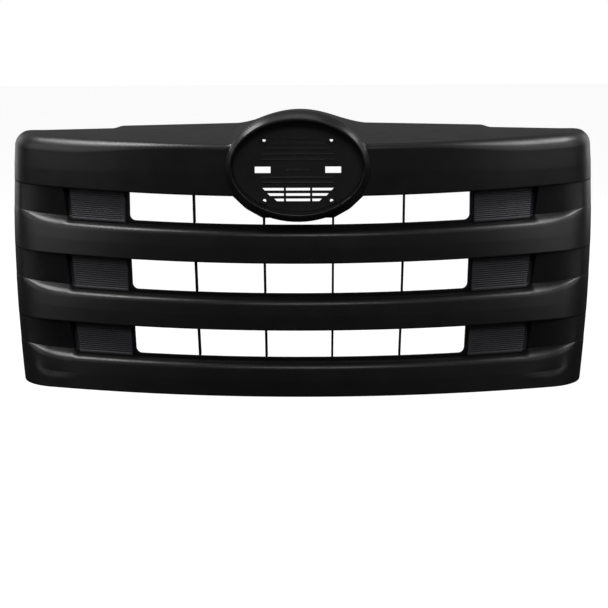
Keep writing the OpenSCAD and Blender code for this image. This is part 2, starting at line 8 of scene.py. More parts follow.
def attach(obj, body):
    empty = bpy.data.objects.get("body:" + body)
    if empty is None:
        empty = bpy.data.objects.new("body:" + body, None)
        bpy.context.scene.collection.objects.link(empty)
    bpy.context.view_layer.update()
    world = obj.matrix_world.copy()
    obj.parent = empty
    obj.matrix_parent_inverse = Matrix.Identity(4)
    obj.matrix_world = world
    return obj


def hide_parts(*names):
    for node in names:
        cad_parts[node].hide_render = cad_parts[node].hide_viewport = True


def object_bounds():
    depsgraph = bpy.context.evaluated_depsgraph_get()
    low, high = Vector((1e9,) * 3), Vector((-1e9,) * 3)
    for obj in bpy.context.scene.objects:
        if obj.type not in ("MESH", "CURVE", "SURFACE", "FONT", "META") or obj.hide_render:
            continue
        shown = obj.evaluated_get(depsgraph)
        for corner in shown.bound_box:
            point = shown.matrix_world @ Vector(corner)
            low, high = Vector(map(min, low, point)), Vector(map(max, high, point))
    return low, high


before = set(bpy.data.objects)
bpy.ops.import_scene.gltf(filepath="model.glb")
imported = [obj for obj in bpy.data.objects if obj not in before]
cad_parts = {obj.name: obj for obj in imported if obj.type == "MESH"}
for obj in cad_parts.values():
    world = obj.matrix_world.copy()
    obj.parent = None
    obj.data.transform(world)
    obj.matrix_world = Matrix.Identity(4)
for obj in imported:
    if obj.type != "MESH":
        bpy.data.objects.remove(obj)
cad_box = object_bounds()
MM = 0.001

# ---------------------------------------------------------------- dimensions
# The part's own dimensions, in millimetres, as the CAD model has them. Depths
# are measured from the lip line in the middle, and mid_y moves them to the frame.
overall_w = 2 * cad_box[1][0] / MM
bow_depth, bow_rake, corner_w, side_taper = 181.0, 0.786, 80.0, 36.0
side_return, wall, gap = 5.0, 3.5, 0.3
valance_h, lower_row_h, lower_bar_h, middle_row_h = 93.0, 72.0, 87.0, 78.0
upper_bar_h, upper_row_h, header_h = 91.0, 73.0, 124.0
row_taper, window_corner_r = 22.0, 14.0
ledge_back, shoulder_h, end_lift, crest_back = 30.0, 7.0, 16.0, 4.0
under_depth, ledge_depth, blank_back = 40.0, 14.0, 14.0
end_blank_w, insert_w, groove_w, groove_slant = 142.0, 145.0, 15.0, 8.0
groove_depth, groove_reach = 10.0, 18.0
rib_count, rib_h, foot_out = 14, 1.1, 3.0
blade_t, blade_depth, inner_blade_x, outer_blade_x = 5.4, 24.0, 84.0, 256.0
post_w, rail_h, top_rail_h, rail_t = 8.0, 7.0, 5.0, 6.0
crease_r, side_edge_r = 14.0, 37.0
shelf_rise, shelf_fall, shelf_step, shelf_step_inset = 20.5, 14.0, 6.0, 270.0
rear_flange_h = 26.0
emblem_w, emblem_h, emblem_rise = 314.0, 221.0, 72.0
rim_proud, rim_flare, side_flare, plate_back, plate_t = 24.5, 22.5, 0.71, 15.0, 3.0
emblem_hole_r, emblem_hole_dx, emblem_hole_dz = 4.0, 161.0, 146.0
emblem_hole_drop, clip_x, clip_z, clip_w, clip_h = 10.3, 84.7, -9.0, 38.0, 15.5
slot_h, slot_slant, slot_middle_w, slot_divider_w = 6.3, 6.0, 57.8, 5.4
# height over the emblem's centre and half length, for each row of slots and each rib
slot_rows = ((-56, 86), (-69, 74), (-82, 57))
louvre_ribs = ((70, 36), (57, 62), (44, 76), (31, 86), (18, 88), (-26, 88), (-38, 86), (-8, 28.1))
shank_r, shank_l, collar_r, washer_r, washer_t = 4.0, 20.0, 10.0, 25.0, 6.0
stud_head_r, stud_neck_r, thread_pitch, thread_depth = 9.0, 5.0, 1.25, 0.68
header_stud_inset, valance_stud_x = 152.0, 300.0

sill_3 = valance_h
lip_3 = sill_3 + lower_row_h
sill_2 = lip_3 + lower_bar_h
lip_2 = sill_2 + middle_row_h
sill_1 = lip_2 + upper_bar_h
lip_1 = sill_1 + upper_row_h
crease_z = lip_1 + header_h
full_w_z, sweep_z, rake_span = 0.91 * lip_1, 0.69 * lip_1, 1.2 * crease_z
corner_x = overall_w / 2 - corner_w
blank_x = overall_w / 2 - end_blank_w
window_half_w = blank_x - groove_w - insert_w - post_w - gap
shelf_step_x = overall_w / 2 - shelf_step_inset
header_stud_x = overall_w / 2 - header_stud_inset
half_w, half_h = emblem_w / 2, emblem_h / 2
emblem_z = lip_1 + emblem_rise
sleeve_grow, cutout_grow, sleeve_end = 9.5, 10.0, plate_back + 25
apron_low_z = emblem_z - half_h - sleeve_grow - 4.5


def oval_w(grow):
    return half_w + (side_flare * grow if grow > 0 else grow)


def oval_h(grow):
    return half_h + grow


flank_w = oval_w(rim_flare)


# ---------------------------------------------------------------- plan curve
def row_share(z):
    """Share by which distances from the middle shrink below the header."""
    return 1 - row_taper / blank_x * (np.maximum(0, lip_1 - z) / (lip_1 - sill_3 - lower_row_h / 2)) ** 1.5


def side_x(z):
    return overall_w / 2 - side_taper * (np.maximum(0, full_w_z - z) / full_w_z) ** 1.7


def sweep_share(z):
    return 1 + bow_rake * (np.minimum(z, lip_1) - sweep_z) / rake_span


def bow_y(x, z):
    return bow_depth * (x / corner_x) ** 2 * sweep_share(z)


def bow_angle(x, z):
    return np.arctan(2 * bow_depth * x / corner_x ** 2 * sweep_share(z))


def corner_radius(z):
    return corner_w / (1 - np.sin(bow_angle(side_x(z) - corner_w, z)))


def corner_end_y(z):
    start = side_x(z) - corner_w
    return bow_y(start, z) + corner_radius(z) * np.cos(bow_angle(start, z))


rear_y = corner_end_y(lip_1) + side_return
mid_y = (rear_y + washer_t + shank_l - rim_proud) / 2


def plan(s, z):
    """x, y and turn of the face at a station: (0, distance from the middle) or see end_stations()."""
    kind, v = s
    if kind == 0:
        x = v * row_share(z)
        return x, bow_y(x, z), bow_angle(x, z)
    start = side_x(z) - corner_w
    if kind == 1:
        x = blank_x * row_share(z) * (1 - v) + start * v
        return x, bow_y(x, z), bow_angle(x, z)
    a0, r = bow_angle(start, z), corner_radius(z)
    if kind == 2:
        a = a0 + (math.pi / 2 - a0) * v
        return start + r * (np.sin(a) - np.sin(a0)), bow_y(start, z) + r * (np.cos(a0) - np.cos(a)), a
    return side_x(z), corner_end_y(z) + (rear_y - corner_end_y(z)) * v, math.pi / 2 + 0 * z


def at(s, side, n, z):
    """Points n behind the face at heights z, as an array of x, y, z in millimetres."""
    n, z = np.asarray(n, float), np.asarray(z, float)
    x, y, a = plan(s, z)
    return np.stack([side * (x - n * np.sin(a)), y + n * np.cos(a) - mid_y, z], axis=-1)


def smooth_share(t):
    u = min(1.0, max(0.0, t))
    return u * u * (3 - 2 * u)


def spaced(first, step, count):
    """Stations before the end blank, at even steps from the middle."""
    return [(0, first + step * i) for i in range(count)]


def recess(s, z):
    """Share of the shoulder's depth that is left: 1 up to the end blank, then fading to nothing."""
    x0, x_end = blank_x * float(row_share(z)), float(side_x(z)) - 28
    return 1.0 if s[0] == 0 else max(0.02, 1 - ((float(plan(s, z)[0]) - x0) / (x_end - x0)) ** 2)


def end_stations():
    """1: end blank to corner, 2: round the corner, 3: along the side return."""
    return ([(1, i / 26) for i in range(1, 27)] + [(2, i / 26) for i in range(1, 27)]
            + [(3, 0.5), (3, 1.0)])


def both_sides(half):
    """The stations of one half and its mirror image, from the left end to the right end."""
    return [(s, -1) for s in reversed(half)] + [((0, 0.0), 1)] + [(s, 1) for s in half]


# ---------------------------------------------------------------- mesh making
def fillet(points, radii, arc=8, shares=(0.05, 0.25, 0.5, 0.75, 0.95)):
    """A polyline with rounded corners and support points along its straights."""
    p = [np.array(q, float) for q in points]
    starts, ends = [p[0]], []
    arcs = []
    for i in range(1, len(p) - 1):
        u, v = p[i - 1] - p[i], p[i + 1] - p[i]
        lu, lv = np.linalg.norm(u), np.linalg.norm(v)
        u, v = u / max(lu, 1e-9), v / max(lv, 1e-9)
        half = math.acos(max(-1.0, min(1.0, float(u @ v)))) / 2
        cut = min(radii[i] / max(math.tan(half), 1e-3), 0.46 * lu, 0.46 * lv)
        a, b = p[i] + u * cut, p[i] + v * cut
        t = np.linspace(0, 1, arc)[:, None]
        arcs.append((1 - t) ** 2 * a + 2 * t * (1 - t) * p[i] + t ** 2 * b)
        ends.append(a)
        starts.append(b)
    ends.append(p[-1])
    out = [p[0][None]]
    for i, (a, b) in enumerate(zip(starts, ends)):
        out.append(np.array([a + (b - a) * f for f in shares]))
        if i < len(arcs):
            out.append(arcs[i])
    out.append(p[-1][None])
    return np.concatenate(out)


def mesh_object(name, points, faces, material, smooth=True, angle=40):
    mesh = bpy.data.meshes.new(name)
    mesh.from_pydata([tuple(q) for q in np.asarray(points) * MM], [], faces)
    work = bmesh.new()
    work.from_mesh(mesh)
    bmesh.ops.remove_doubles(work, verts=work.verts, dist=1e-6)
    bmesh.ops.recalc_face_normals(work, faces=work.faces)
    work.to_mesh(mesh)
    work.free()
    mesh.update()
    obj = bpy.data.objects.new(name, mesh)
    bpy.context.collection.objects.link(obj)
    mesh.materials.append(material)
    if smooth:
        mesh.polygons.foreach_set("use_smooth", [True] * len(mesh.polygons))
        mesh.set_sharp_from_angle(angle=math.radians(angle))
    return obj


def loft_faces(rows, count, closed_rows=False, caps=True):
    """Quads through equal closed loops; caps join the two skins of a wall."""
    faces = []
    last = rows if closed_rows else rows - 1
    for i in range(last):
        for j in range(count):
            a, b = i * count + j, i * count + (j + 1) % count
            c, d = ((i + 1) % rows) * count + (j + 1) % count, ((i + 1) % rows) * count + j
            faces.append((a, b, c, d))
    if caps and not closed_rows:
        for j in range(count // 2 - 1):
            a, b, c, d = j, j + 1, count - 2 - j, count - 1 - j
            faces.append((a, d, c, b))
            k = (rows - 1) * count
            faces.append((k + a, k + b, k + c, k + d))
    return faces


def loft(name, loops, material, **kw):
    loops = np.array(loops)
    rows, count = loops.shape[:2]
    return mesh_object(name, loops.reshape(-1, 3), loft_faces(rows, count), material, **kw)


def join(name, parts):
    """Joins pieces into the first one, under one name."""
    bpy.ops.object.select_all(action="DESELECT")
    for o in parts:
        o.select_set(True)
    bpy.context.view_layer.objects.active = parts[0]
    bpy.ops.object.join()
    parts[0].name = name
    parts[0].data.name = name
    return parts[0]


def stand_for(piece, node, body="grille"):
    """Rides a piece on its body, in place of its CAD node, which it hides."""
    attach(piece, body)
    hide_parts(node)
    return piece


# ---------------------------------------------------------------- materials
def node_material(name):
    mat = bpy.data.materials.new(name)
    mat.use_nodes = True
    tree = mat.node_tree
    return mat, tree, tree.nodes["Principled BSDF"]


def add(tree, kind, inputs=None, **values):
    """A new shader node with its settings and its unlinked inputs."""
    n = tree.nodes.new(kind)
    for key, value in values.items():
        setattr(n, key, value)
    set_inputs(n, inputs or {})
    return n


def set_inputs(node, inputs):
    for key, value in inputs.items():
        node.inputs[key].default_value = value


def noise(tree, scale, detail=3.0, rough=0.5):
    n = add(tree, "ShaderNodeTexNoise", {"Scale": scale, "Detail": detail, "Roughness": rough})
    where = add(tree, "ShaderNodeTexCoord")
    tree.links.new(where.outputs["Object"], n.inputs["Vector"])
    return n


def spread(tree, source, low, high):
    """Stretches the middle of a noise over the range from low to high."""
    n = add(tree, "ShaderNodeMapRange",
            {"From Min": 0.3, "From Max": 0.7, "To Min": low, "To Max": high})
    tree.links.new(source, n.inputs["Value"])
    return n.outputs["Result"]


def colour_mix(tree, a, b, factor):
    """Mixes two colours, or a socket and a colour, by a factor socket."""
    mix = add(tree, "ShaderNodeMix", data_type="RGBA")
    for key, value in (("A", a), ("B", b)):
        if isinstance(value, bpy.types.NodeSocket):
            tree.links.new(value, mix.inputs[key])
        else:
            mix.inputs[key].default_value = (*value, 1)
    tree.links.new(factor, mix.inputs["Factor"])
    return mix.outputs["Result"]


def moulded_plastic(name, dark, light, rough, grain=0.25, specular=0.5, grain_scale=1400.0):
    """Satin moulded plastic: fine mould grain, slow change of gloss, colour lighter on sharp convex edges.
    """
    mat, tree, bsdf = node_material(name)
    cloud = noise(tree, 7.0, 4.0)
    body = colour_mix(tree, dark, light, spread(tree, cloud.outputs["Fac"], 0.0, 1.0))
    # the base colour turns up to 35% lighter where the surface is sharply convex (high Pointiness)
    surface_shape = add(tree, "ShaderNodeNewGeometry")
    edge = add(tree, "ShaderNodeMapRange", {"From Min": 0.53, "From Max": 0.62, "To Max": 0.35})
    tree.links.new(surface_shape.outputs["Pointiness"], edge.inputs["Value"])
    edge_lightened = colour_mix(tree, body, [c * 1.6 for c in light], edge.outputs["Result"])
    tree.links.new(edge_lightened, bsdf.inputs["Base Color"])
    smear = noise(tree, 22.0, 5.0, 0.6)
    tree.links.new(spread(tree, smear.outputs["Fac"], rough - 0.035, rough + 0.035),
                   bsdf.inputs["Roughness"])
    fine = noise(tree, grain_scale, 2.0)
    bump = add(tree, "ShaderNodeBump", {"Strength": grain, "Distance": 0.0001})
    tree.links.new(fine.outputs["Fac"], bump.inputs["Height"])
    tree.links.new(bump.outputs["Normal"], bsdf.inputs["Normal"])
    bsdf.inputs["Specular IOR Level"].default_value = specular
    return mat


def zinc_steel():
    mat, tree, bsdf = node_material("zinc_steel")
    bsdf.inputs["Metallic"].default_value = 1.0
    tone = noise(tree, 260.0, 4.0)
    ramp = add(tree, "ShaderNodeValToRGB")
    ramp.color_ramp.elements[0].color = (0.36, 0.37, 0.38, 1)
    ramp.color_ramp.elements[1].color = (0.66, 0.66, 0.62, 1)
    tree.links.new(tone.outputs["Fac"], ramp.inputs["Fac"])
    tree.links.new(ramp.outputs["Color"], bsdf.inputs["Base Color"])
    tree.links.new(spread(tree, tone.outputs["Fac"], 0.25, 0.42), bsdf.inputs["Roughness"])
    return mat


panel_black = moulded_plastic("panel_black", (0.0055, 0.0055, 0.006), (0.0085, 0.0085, 0.009), 0.36)
bezel_black = moulded_plastic("bezel_black", (0.006, 0.006, 0.0065), (0.009, 0.009, 0.0095), 0.33)
grid_black = moulded_plastic("grid_black", (0.003, 0.003, 0.003), (0.005, 0.005, 0.005), 0.45, specular=0.2)
plate_black = moulded_plastic("plate_black", (0.011, 0.011, 0.0115), (0.015, 0.015, 0.0155), 0.42,
                              specular=0.5)
insert_grey = moulded_plastic("insert_grey", (0.026, 0.026, 0.032), (0.032, 0.032, 0.039), 0.45)
rubber_black = moulded_plastic("rubber_black", (0.008, 0.008, 0.008), (0.012, 0.012, 0.012), 0.62,
                               grain=0.6, specular=0.3, grain_scale=900.0)
stud_steel = zinc_steel()


# ---------------------------------------------------------------- bars
def under_at(s):
    """How far the underside reaches to the rear of the lip."""
    return under_depth if s[0] == 0 else under_depth - 20 * s[1] if s[0] == 1 else 14.0


def crest_rounding(lip, crest, ledge, c, ledge_n, u, back, front):
    """Skin of a bar: one long soft rounding runs from the face over the crest to the ledge."""
    lower = fillet([(u, lip), (front, lip), (front + 0.3 * (c - front), lip + 0.5 * (crest - lip))],
                   [0, 3.0, 0])
    face, top, end = np.array([0.9 * c + 0.1 * front, crest - 13]), np.array([c, crest]), \
        np.array([ledge_n, ledge])
    end_round = top + (end - top) * 0.7
    t = np.linspace(0, 1, 18)[:, None]
    curve = (1 - t) ** 2 * face + 2 * t * (1 - t) * top + t ** 2 * end_round
    upper = fillet([end_round, end, (back, ledge)], [0, 1.6, 0], shares=(0.3, 0.7))
    return np.concatenate([lower, curve, upper[1:]])


def swell(s, n, z):
    """Folds the valance's lower corners gently along a smile-shaped line."""
    x = float(plan(s, 40.0)[0])
    line = 33 + 24 * max(0.0, (x - 620) / 60) ** 2 + 4 * ((x - 610) / 60) ** 2
    fold = np.tanh((line - z) / 2.6) * np.exp(-((z - line) / 14) ** 2)
    return n - 2.8 * math.exp(-((x - 615) / 40) ** 2) * fold


def bar_loop(s, side, lip, sill):
    """Section of a bar: underside, lip, face, crest and shoulder up to the ledge."""
    e = recess(s, sill)
    at_end = s[0] != 0 or s[1] > blank_x - 1
    share = smooth_share((s[1] - blank_x + groove_w) / groove_w) if s[0] == 0 else 1.0
    ledge = sill - rail_h + share * (rail_h + (end_lift - rail_h) * (1 - e))
    crest = sill - rail_h - shoulder_h * e + end_lift * (1 - e)
    c, u = crest_back * e, under_at(s)
    back = ledge_back * e + (3.0 if at_end else ledge_depth)
    outer = crest_rounding(lip, crest, ledge, c, ledge_back * e, u, back, 0)
    if lip == 0:
        outer[:, 0] = swell(s, outer[:, 0], outer[:, 1])
    inner = crest_rounding(lip + wall, crest - 0.8 * wall * e, ledge - wall, c + wall,
                           ledge_back * e + wall, u, back + (wall if at_end else 0), wall)
    return np.concatenate([at(s, side, outer[:, 0], outer[:, 1]),
                           at(s, side, inner[::-1, 0], inner[::-1, 1])])


def blank_loop(s, side, sill, above, depth_in=0.0):
    """Section of a smooth end blank, from the shoulder up to the lip above."""
    e = recess(s, sill)
    low = sill + (end_lift - rail_h) * (1 - e) - 1.0
    zs = low + (above - low) * np.array([0, 0.04, 0.25, 0.5, 0.75, 0.96, 1.0])
    n = (ledge_back + (blank_back - ledge_back) * (zs - low) / (above - low)) * e + depth_in
    return np.concatenate([at(s, side, n, zs), at(s, side, n[::-1] + wall, zs[::-1])])


def bar(name, lip, sill, above):
    half = spaced(6.0, 6.0, 100) + end_stations()
    parts = [loft(name, [bar_loop(s, side, lip, sill) for s, side in both_sides(half)], panel_black)]
    for side in (-1, 1):
        # the blank's inner edge rolls back into the groove
        loops = [blank_loop((0, blank_x + 0.2 * k), side, sill, above, d)
                 for k, d in enumerate((12.0, 5.0, 2.6, 1.2, 0.4, 0.0))]
        loops += [blank_loop(s, side, sill, above) for s in end_stations()]
        parts.append(loft(name + "_blank", loops if side > 0 else loops[::-1], panel_black, angle=60))
    return parts


# ---------------------------------------------------------------- header
def oval_top(x):
    """Height of the emblem housing's outline, which drops away beyond its end."""
    inside = 1 - (x / flank_w) ** 2
    return emblem_z + oval_h(rim_flare) * math.sqrt(inside) if inside > 0 else \
        emblem_z - 4 * (x - flank_w)


def crease_top(x):
    """Height of the shelf's front edge, with a soft turn up on to the emblem housing."""
    if x >= half_w + 60:
        return crease_z
    a, b, soft = crease_z, oval_top(x), 10.0
    return min(0.5 * (a + b + math.hypot(a - b, soft)), emblem_z + oval_h(rim_flare) - 0.1)


def rear_top(x):
    """Height of the shelf's rear edge, with the crown and the raised middle length."""
    crown_half_w = half_w + 9
    crown = 0 if x >= crown_half_w else 30.5 * math.cos(math.pi / 2 * x / crown_half_w) ** 1.6
    step = shelf_step * smooth_share((shelf_step_x + 14 - x) / 28)
    return crease_z + shelf_rise - shelf_step - shelf_fall * min(1, x / corner_x) + step + crown


def edge_r(s):
    """Radius of the shelf's front edge, which grows towards the sides."""
    span = (s[1] - flank_w) / (blank_x - flank_w)
    return crease_r + (side_edge_r - crease_r) * (smooth_share(span) ** 2 if s[0] == 0 else 1.0)


def shelf_x(s):
    """Distance from the middle at which a station's section meets the shelf's rear edge."""
    last = overall_w / 2 - side_edge_r - 8
    if s[0] == 0:
        return s[1]
    share = {1: 0.7 * s[1], 2: 0.7 + 0.2 * s[1], 3: 0.9 + 0.1 * s[1]}[s[0]]
    return blank_x + (last - blank_x) * share


def header_skin(s, side, t):
    """One skin of the header at a station; t is 0 outside and the wall inside."""
    x = float(plan(s, np.float64(crease_z))[0])
    r, top, face_n = edge_r(s), crease_top(x if s[0] == 0 else corner_x), 4.0
    low, u = top - r, under_at(s)
    front = fillet([(u, lip_1 + t), (t, lip_1 + t), (0.3 * face_n + t, lip_1 + 0.5 * (low - lip_1))],
                   [0, 3.0 if t == 0 else 1, 0])
    a = np.linspace(0, math.pi / 2, 22)
    turn = np.stack([face_n + r - (r - t) * np.cos(a), low + (r - t) * np.sin(a)], -1)
    rise = np.linspace(0.15, 1, 6)[:, None]
    between = front[-1] + (turn[0] - front[-1]) * rise
    front = np.concatenate([front, between, turn[1:]])
    lower = at(s, side, front[:, 0], front[:, 1])
    edge = lower[-1]
    rear = np.array([side * shelf_x(s), rear_y - t - mid_y, rear_top(shelf_x(s)) - t])
    shares = np.linspace(0.06, 0.97, 16)
    crown = 3 * min(1.0, float(np.linalg.norm(rear - edge)) / 150)
    shelf = [edge + (rear - edge) * f + np.array([0, 0, crown * math.sin(math.pi * f)]) for f in shares]
    flange = rear - np.array([0, 0, rear[2] - (crease_z - rear_flange_h)])
    return np.concatenate([lower, shelf, [rear, flange]])


def header():
    half = spaced(3.0, 3.0, 74) + spaced(228.0, 6.0, 37)
    half += spaced(446.0, 4.0, 8) + spaced(480.0, 6.0, 21) + end_stations()
    loops = [np.concatenate([header_skin(s, side, 0), header_skin(s, side, wall)[::-1]])
             for s, side in both_sides(half)]
    shell = loft("header_panel_visual", loops, panel_black, angle=50)
    cutter = oval_prism(cutout_grow, -60, plate_back + 60)
    cut = shell.modifiers.new("cut", "BOOLEAN")
    cut.object = cutter
    cut.solver = "EXACT"
    bpy.context.view_layer.objects.active = shell
    bpy.ops.object.modifier_apply(modifier="cut")
    bpy.data.objects.remove(cutter)
    return shell


def oval_prism(grow, y0, y1, count=180):
    t = np.linspace(0, 2 * math.pi, count, endpoint=False)
    x, z = oval_w(grow) * np.cos(t), emblem_z + oval_h(grow) * np.sin(t)
    pts = np.concatenate([np.stack([x, 0 * x + y - mid_y, z], -1) for y in (y0, y1)])
    faces = [(i, (i + 1) % count, count + (i + 1) % count, count + i) for i in range(count)]
    faces += [tuple(range(count))[::-1], tuple(range(count, 2 * count))]
    return mesh_object("cutter", pts, faces, panel_black, smooth=False)


# ---------------------------------------------------------------- tabs and studs
def side_stud_x(z):
    return float(side_x(z - washer_r)) - wall / 2 - wall - washer_r - 2


header_stud_z = crease_z - 8 - washer_r
bar_stud_z, valance_side_z, valance_stud_z = (lip_2 + sill_1) / 2 + 10, sill_3 + 12, washer_r + wall
valance_tab_y = float(bow_y(valance_stud_x, 0.0)) + under_depth - 4
header_xs = [-header_stud_x, -header_stud_x / 2, 0, header_stud_x / 2, header_stud_x]
stud_at = ([(x, rear_y, header_stud_z) for x in header_xs]
           + [(side * side_stud_x(bar_stud_z), rear_y, bar_stud_z) for side in (-1, 1)]
           + [(side * side_stud_x(valance_side_z), rear_y, valance_side_z) for side in (-1, 1)]
           + [(side * valance_stud_x, valance_tab_y, valance_stud_z) for side in (-1, 1)])


def box(name, low, high, material, bevel=1.0, segments=3):
    """A bevelled block between two corners, in millimetres."""
    (x0, y0, z0), (x1, y1, z1) = low, high
    pts = [(x, y - mid_y, z) for x in (x0, x1) for y in (y0, y1) for z in (z0, z1)]
    faces = [(0, 1, 3, 2), (4, 6, 7, 5), (0, 4, 5, 1), (2, 3, 7, 6), (0, 2, 6, 4), (1, 5, 7, 3)]
    obj = mesh_object(name, pts, faces, material)
    soften(obj, bevel, segments)
    return obj


def soften(obj, width, segments=3):
    mod = obj.modifiers.new("bevel", "BEVEL")
    mod.width = width * MM
    mod.segments = segments
    mod.limit_method = "ANGLE"
    mod.harden_normals = True
    bpy.context.view_layer.objects.active = obj
    bpy.ops.object.modifier_apply(modifier="bevel")


def lathe(name, centre, outline, material, count=48, angle=35):
    """Turns an outline of (radius, y) round the line through centre along Y."""
    cx, cy, cz = centre
    rows = []
    for k in range(count):
        t = 2 * math.pi * k / count
        rows.append([(cx + r * math.cos(t), cy + y - mid_y, cz + r * math.sin(t)) for r, y in outline])
    rows = np.array(rows)
    faces = loft_faces(count, len(outline), closed_rows=True)
    return mesh_object(name, rows.reshape(-1, 3), [f[::-1] for f in faces], material, angle=angle)


def side_edge(z):
    return float(side_x(z - washer_r)) - wall / 2


def tabs(places, at_side=False):
    """A tab behind each stud; at the sides it starts from the side wall."""
    parts = []
    reach = washer_r + 3
    for x, y, z in places:
        x0, x1 = x - reach, x + reach
        if at_side:
            side = 1 if x > 0 else -1
            edge = side * side_edge(z)
            x0, x1 = sorted((edge, edge - side * 2 * reach))
        top = {header_stud_z: crease_z - 4}.get(z, z + washer_r + 1)
        low = max(z - washer_r - 1, wall / 2)
        parts.append(box("tab", (x0, y - wall, low), (x1, y, top), panel_black, 1.0))
    return parts


# ---------------------------------------------------------------- emblem housing
def bezel():
    """Oval rim, its flank flaring to the rear, and the sleeve through the header."""
    plate_rear = plate_back + plate_t
    section = fillet(
        [(0, 0), (0, 4.5 - rim_proud), (3, -rim_proud), (9, 0.5 - rim_proud),
         (0.76 * rim_flare, -0.5 * rim_proud), (rim_flare, -2.5), (rim_flare, -0.5),
         (sleeve_grow, -0.5), (sleeve_grow, sleeve_end), (5, sleeve_end), (5, plate_rear + 4),
         (-8, plate_rear + 4), (-8, plate_rear), (0, plate_rear), (0, 0)],
        [0, 4, 3, 2.5, 9, 1.2, 1, 1, 1, 1, 1, 1, 1, 1, 0], arc=9, shares=(0.08, 0.5, 0.92))[:-1]
    count = 240
    rows = []
    for k in range(count):
        t = 2 * math.pi * k / count
        rows.append([(oval_w(a) * math.cos(t), y - mid_y, emblem_z + oval_h(a) * math.sin(t))
                     for a, y in section])
    rows = np.array(rows)
    faces = [f[::-1] for f in loft_faces(count, len(section), closed_rows=True)]
    ring = mesh_object("bezel_ring", rows.reshape(-1, 3), faces, bezel_black, angle=50)
    return join("emblem_bezel_visual", [ring] + apron())


def apron():
    """Straight-sided skirt that closes the gap between the oval and the header's lip."""
    low_x, bulge = inner_blade_x + 2, 4.0
    mid_x, mid_z = (half_w + low_x) / 2 + bulge, (lip_1 + apron_low_z) / 2 - bulge
    t = np.linspace(math.radians(207), math.radians(333), 40)
    arc = [(oval_w(7) * math.cos(a), emblem_z + oval_h(7) * math.sin(a)) for a in t]
    arc = [p for p in arc if p[1] < lip_1 - 1]
    skirt = fillet([(-half_w, lip_1), (-mid_x, mid_z), (-low_x, apron_low_z), (low_x, apron_low_z),
                    (mid_x, mid_z), (half_w, lip_1)], [0, 60, 5, 5, 60, 0], arc=8, shares=(0.5,))
    outline = [tuple(p) for p in skirt] + [(arc[-1][0], lip_1)] + arc[::-1] + [(arc[0][0], lip_1)]
    return [extruded("apron", [outline], 8, sleeve_end, bezel_black, 0.8)]


def extruded(name, outlines, y0, y1, material, bevel):
    """A flat outline with holes, upright, between two depths, with bevelled edges."""
    curve = bpy.data.curves.new(name, "CURVE")
    curve.dimensions = "2D"
    curve.fill_mode = "BOTH"
    curve.extrude = ((y1 - y0) / 2 - bevel) * MM
    curve.bevel_depth = bevel * MM
    curve.bevel_resolution = 2
    curve.offset = -bevel * MM
    for line in outlines:
        spline = curve.splines.new("POLY")
        spline.points.add(len(line) - 1)
        for q, (x, z) in zip(spline.points, line):
            q.co = (x * MM, z * MM, 0, 1)
        spline.use_cyclic_u = True
    source = bpy.data.objects.new(name, curve)
    bpy.context.collection.objects.link(source)
    source.matrix_world = Matrix.Translation((0, ((y0 + y1) / 2 - mid_y) * MM, 0)) @ \
        Matrix.Rotation(math.pi / 2, 4, "X")
    bpy.context.view_layer.update()
    mesh = bpy.data.meshes.new_from_object(source.evaluated_get(bpy.context.evaluated_depsgraph_get()))
    mesh.transform(source.matrix_world)
    bpy.data.objects.remove(source)
    obj = bpy.data.objects.new(name, mesh)
    bpy.context.collection.objects.link(obj)
    mesh.materials.clear()
    mesh.materials.append(material)
    mesh.polygons.foreach_set("use_smooth", [True] * len(mesh.polygons))
    mesh.set_sharp_from_angle(angle=math.radians(35))
    return obj


def prism(name, ends, material, bevel):
    """A bevelled bar between two four-cornered ends."""
    faces = [(i, (i + 1) % 4, 4 + (i + 1) % 4, 4 + i) for i in range(4)] + [(3, 2, 1, 0), (4, 5, 6, 7)]
    obj = mesh_object(name, ends, faces, material)
    soften(obj, bevel)
    return obj


def ring_points(x, z, rx, rz=None, count=48):
    t = np.linspace(0, 2 * math.pi, count, endpoint=False)
    return [(x + rx * math.cos(a), z + (rz or rx) * math.sin(a)) for a in t]


def rect(x, z, w, h):
    return [(x - w / 2, z - h / 2), (x + w / 2, z - h / 2), (x + w / 2, z + h / 2), (x - w / 2, z + h / 2)]


def louvre(z, half):
    """A rib with a sloping top, a flat underside and softened edges."""
    back, front = plate_back + 0.3, plate_back - 3
    pts = [(x, y - mid_y, z + dz) for x in (-half, half)
           for y, dz in ((back, 2.6), (front, -1.4), (front, -2.4), (back, -2.4))]
    return prism("rib", pts, plate_black, 0.4)


def emblem_plate():
    """The plate in the oval, with its holes, windows, slots, bosses and ribs."""
    holes = [(sx * emblem_hole_dx / 2, emblem_z - emblem_hole_drop + sz * emblem_hole_dz / 2)
             for sx in (-1, 1) for sz in (-1, 1)]
    lines = [ring_points(0, emblem_z, half_w - gap, half_h - gap, 160)]
    lines += [ring_points(x, z, emblem_hole_r, count=32) for x, z in holes]
    lines += [rect(side * clip_x, emblem_z + clip_z, clip_w, clip_h) for side in (-1, 1)]
    slot_x = slot_middle_w / 2 + slot_divider_w
    for dz, half in slot_rows:
        z0, z1 = emblem_z + dz - slot_h / 2, emblem_z + dz + slot_h / 2
        for side in (-1, 1):
            lines.append([(side * slot_x, z0), (side * (half - slot_slant), z0), (side * half, z1),
                          (side * slot_x, z1)])
        lines.append(rect(0, emblem_z + dz, slot_middle_w, slot_h))
    parts = [extruded("plate", lines, plate_back, plate_back + plate_t, plate_black, 0.45)]
    r = emblem_hole_r
    ring = [(r, 0.5), (r, -2.2), (r + 0.8, -3), (r + 5, -3), (r + 6, -2), (r + 6, 0.5)]
    parts += [lathe("boss", (x, plate_back, z), ring, plate_black) for x, z in holes]
    parts += [louvre(emblem_z + dz, half) for dz, half in louvre_ribs]
    return join("emblem_plate_visual", parts)


